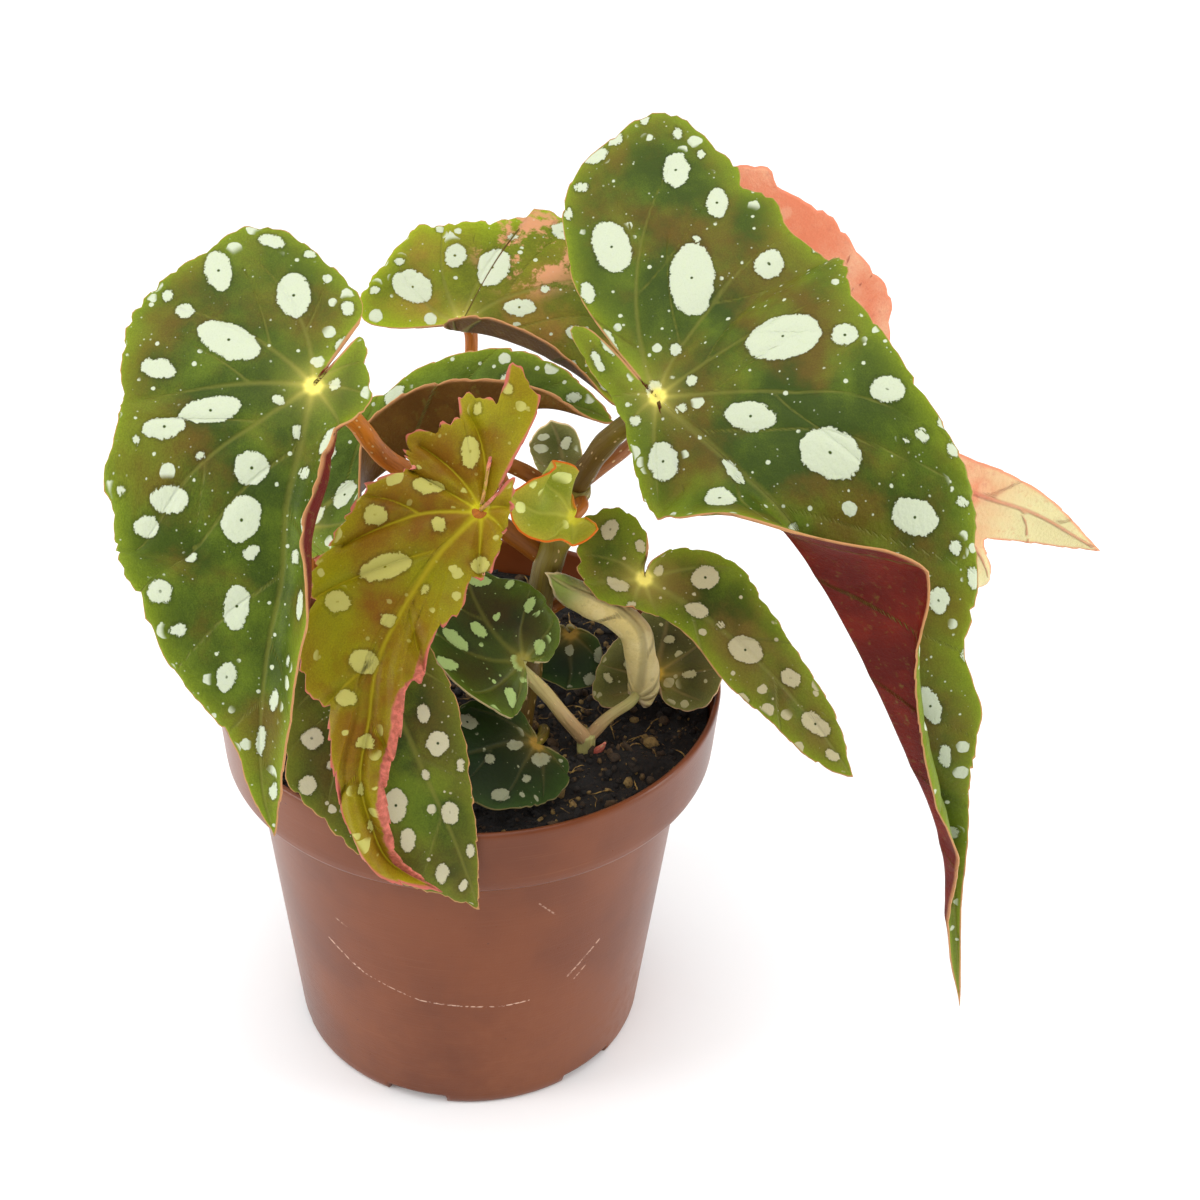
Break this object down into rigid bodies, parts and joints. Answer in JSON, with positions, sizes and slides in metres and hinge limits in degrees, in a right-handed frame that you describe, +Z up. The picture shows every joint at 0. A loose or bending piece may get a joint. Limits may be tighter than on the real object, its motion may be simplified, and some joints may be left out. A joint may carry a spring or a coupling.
{
  "type": "potted polka dot begonia",
  "caption": "Leafy houseplant in a round plastic nursery pot: angel-wing leaves, green with silver-white dots, on arching stalks that stand in dark potting soil.",
  "frame": {"origin": "centre of the pot's flat underside, on the surface that the pot stands on", "axes": "+Z up along the pot's axis; -Y is the front, towards the viewer of the picture; +X to the viewer's right"},
  "size_m": [0.24, 0.1568, 0.2287],
  "materials": {
    "pot": "red-brown satin plastic",
    "soil": "dark moist potting mix",
    "stem": "smooth fleshy stalk",
    "leaf_green": "satin green leaf with silver-white dots",
    "leaf_deep": "satin dark green leaf with pale dots",
    "leaf_olive": "satin olive leaf with pale dots",
    "leaf_young": "satin yellow-green young leaf",
    "leaf_pale": "satin pale leaf",
    "leaf_pink": "translucent pink-orange underside of a leaf"
  },
  "bodies": {
    "root": {"pot": "pot", "soil": "soil", "shoot_main": "stem", "shoot_left": "stem", "shoot_front": "stem", "shoot_low": "stem", "shoot_right": "stem", "shoot_shade": "stem", "shoot_soil": "stem", "leaf_right": "leaf_green", "leaf_left": "leaf_green", "leaf_back": "leaf_green", "leaf_arched": "leaf_green", "leaf_young": "leaf_young", "leaf_front_right": "leaf_green", "leaf_front_low": "leaf_green", "leaf_back_right": "leaf_pink", "leaf_bowl": "leaf_green", "leaf_rolled": "leaf_pale", "leaf_under": "leaf_olive", "leaf_shade": "leaf_deep", "leaf_soil": "leaf_deep", "leaf_crown": "leaf_young", "stipule": "leaf_pale"}
  },
  "joints": []
}
